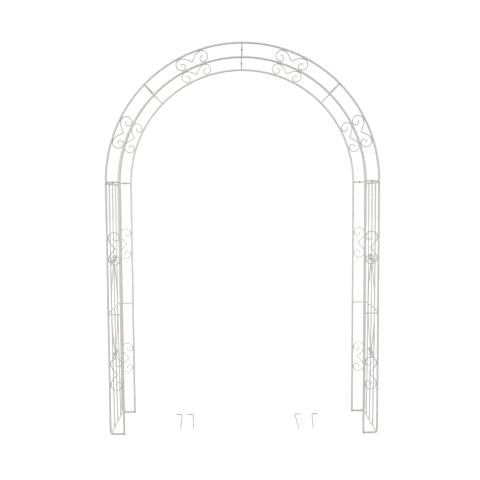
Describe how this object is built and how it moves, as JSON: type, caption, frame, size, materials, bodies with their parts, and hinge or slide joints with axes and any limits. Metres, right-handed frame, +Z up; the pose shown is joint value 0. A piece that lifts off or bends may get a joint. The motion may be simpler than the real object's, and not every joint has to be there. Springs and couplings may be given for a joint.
{
  "type": "garden arch",
  "caption": "Walk-through garden arch of white steel tube: two ladder frames with scrolls, trellis side panels with lyre ornaments, and loose ground pegs.",
  "frame": {"origin": "on the floor under the middle of the arch, at the bottom centre of the bounding box", "axes": "+X to the right across the arch, +Y from the front frame to the rear one, +Z up"},
  "size_m": [1.53, 0.4056, 2.2],
  "materials": {
    "white_powder_coat": "semi-gloss white powder coat over steel",
    "zinc_fasteners": "zinc plated steel",
    "peg_wire": "white coated steel wire"
  },
  "bodies": {
    "arch": {"front_left_arch_end_bars": "white_powder_coat", "front_left_arch_inner_tube": "white_powder_coat", "front_left_arch_outer_tube": "white_powder_coat", "front_left_arch_scrolls": "white_powder_coat", "front_left_arch_spoke": "white_powder_coat", "front_left_inner_post": "white_powder_coat", "front_left_leg_scrolls": "white_powder_coat", "front_left_mid_rail": "white_powder_coat", "front_left_outer_post": "white_powder_coat", "front_left_top_bar": "white_powder_coat", "front_right_arch_end_bars": "white_powder_coat", "front_right_arch_inner_tube": "white_powder_coat", "front_right_arch_outer_tube": "white_powder_coat", "front_right_arch_scrolls": "white_powder_coat", "front_right_arch_spoke": "white_powder_coat", "front_right_inner_post": "white_powder_coat", "front_right_leg_scrolls": "white_powder_coat", "front_right_mid_rail": "white_powder_coat", "front_right_outer_post": "white_powder_coat", "front_right_top_bar": "white_powder_coat", "joint_bolts": "zinc_fasteners", "joint_nuts": "zinc_fasteners", "left_arch_tie": "white_powder_coat", "left_panel_bars": "white_powder_coat", "left_panel_bottom_rail": "white_powder_coat", "left_panel_lyre": "white_powder_coat", "left_panel_mid_rail": "white_powder_coat", "left_panel_top_rail": "white_powder_coat", "rail_screws": "zinc_fasteners", "rear_left_arch_end_bars": "white_powder_coat", "rear_left_arch_inner_tube": "white_powder_coat", "rear_left_arch_outer_tube": "white_powder_coat", "rear_left_arch_scrolls": "white_powder_coat", "rear_left_arch_spoke": "white_powder_coat", "rear_left_inner_post": "white_powder_coat", "rear_left_leg_scrolls": "white_powder_coat", "rear_left_mid_rail": "white_powder_coat", "rear_left_outer_post": "white_powder_coat", "rear_left_top_bar": "white_powder_coat", "rear_right_arch_end_bars": "white_powder_coat", "rear_right_arch_inner_tube": "white_powder_coat", "rear_right_arch_outer_tube": "white_powder_coat", "rear_right_arch_scrolls": "white_powder_coat", "rear_right_arch_spoke": "white_powder_coat", "rear_right_inner_post": "white_powder_coat", "rear_right_leg_scrolls": "white_powder_coat", "rear_right_mid_rail": "white_powder_coat", "rear_right_outer_post": "white_powder_coat", "rear_right_top_bar": "white_powder_coat", "right_arch_tie": "white_powder_coat", "right_panel_bars": "white_powder_coat", "right_panel_bottom_rail": "white_powder_coat", "right_panel_lyre": "white_powder_coat", "right_panel_mid_rail": "white_powder_coat", "right_panel_top_rail": "white_powder_coat"},
    "left_outer_peg": {"left_outer_peg": "peg_wire"},
    "left_inner_peg": {"left_inner_peg": "peg_wire"},
    "right_inner_peg": {"right_inner_peg": "peg_wire"},
    "right_outer_peg": {"right_outer_peg": "peg_wire"}
  },
  "joints": [
    {"name": "left_outer_peg_lift", "type": "slide", "parent": "arch", "child": "left_outer_peg", "axis": [0, 0, 1], "range_m": [0, 0.25]},
    {"name": "left_inner_peg_lift", "type": "slide", "parent": "arch", "child": "left_inner_peg", "axis": [0, 0, 1], "range_m": [0, 0.25]},
    {"name": "right_inner_peg_lift", "type": "slide", "parent": "arch", "child": "right_inner_peg", "axis": [0, 0, 1], "range_m": [0, 0.25]},
    {"name": "right_outer_peg_lift", "type": "slide", "parent": "arch", "child": "right_outer_peg", "axis": [0, 0, 1], "range_m": [0, 0.25]}
  ]
}
